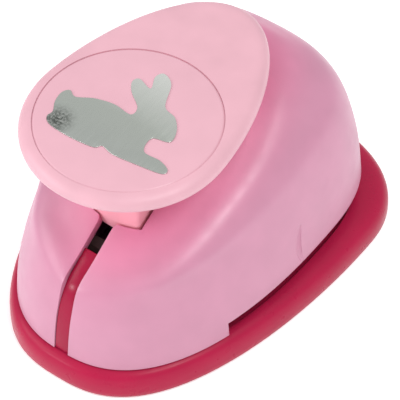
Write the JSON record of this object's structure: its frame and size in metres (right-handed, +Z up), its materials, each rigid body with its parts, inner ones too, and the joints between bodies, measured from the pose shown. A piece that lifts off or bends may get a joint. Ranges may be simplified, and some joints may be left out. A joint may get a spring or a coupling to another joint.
{
  "type": "craft punch",
  "caption": "Palm-lever craft punch: rounded shell on a flat base, with a hinged palm lever driving a rabbit-shaped punch through a steel die.",
  "frame": {"origin": "middle of the flat underside of the base, on the surface it stands on", "axes": "+Z up, -Y towards the palm end of the lever, +Y towards the mouth where the paper goes in, +X across"},
  "size_m": [0.058, 0.078, 0.0479],
  "materials": {
    "base_crimson": "moulded plastic, satin gloss",
    "shell_pink": "moulded plastic, soft satin",
    "lever_pink": "moulded plastic, fine matt",
    "label_pink": "smooth printed disc",
    "foil_silver": "bright mirror foil",
    "black_steel": "blackened pressed steel",
    "black_plastic": "moulded nylon",
    "spring_steel": "zinc-plated spring wire",
    "tool_steel": "ground steel",
    "bright_steel": "zinc-plated steel"
  },
  "bodies": {
    "frame": {"base": "base_crimson", "body_shell": "shell_pink", "bracket_rivet_left": "bright_steel", "bracket_rivet_right": "bright_steel", "die_plate": "tool_steel", "die_screw_left": "bright_steel", "die_screw_right": "bright_steel", "frame_screw_left": "bright_steel", "frame_screw_right": "bright_steel", "front_bracket": "black_steel", "guide_plate": "tool_steel", "guide_post_left": "bright_steel", "guide_post_right": "bright_steel", "hinge_bracket": "black_steel", "hinge_pin": "bright_steel", "pin_clip_left": "bright_steel", "pin_clip_right": "bright_steel", "plate_rivet_left": "bright_steel", "plate_rivet_right": "bright_steel", "shell_screw_left": "bright_steel", "shell_screw_right": "bright_steel", "slot_rib": "base_crimson", "spacer": "tool_steel", "spring_left": "spring_steel", "spring_right": "spring_steel"},
    "lever": {"lever_arm": "black_steel", "lever_pad": "lever_pink", "label_disc": "label_pink", "motif_foil": "foil_silver", "arm_screw_front": "bright_steel", "arm_screw_rear": "bright_steel"},
    "cutter": {"punch": "tool_steel", "punch_carrier": "black_plastic"}
  },
  "joints": [
    {"name": "lever_hinge", "type": "hinge", "parent": "frame", "child": "lever", "pos_m": [0, 0.021, 0.0315], "axis": [1, 0, 0], "range_deg": [0, 12], "stiffness_Nm_per_rad": 2, "springref_deg": -8.59},
    {"name": "punch_slide", "type": "slide", "parent": "frame", "child": "cutter", "axis": [0, 0, -1], "range_m": [0, 0.0042], "deforming": ["spring_left", "spring_right"]}
  ],
  "couplings": [
    {"joint": "punch_slide", "follows": "lever_hinge", "m_per_rad": 0.0191}
  ]
}
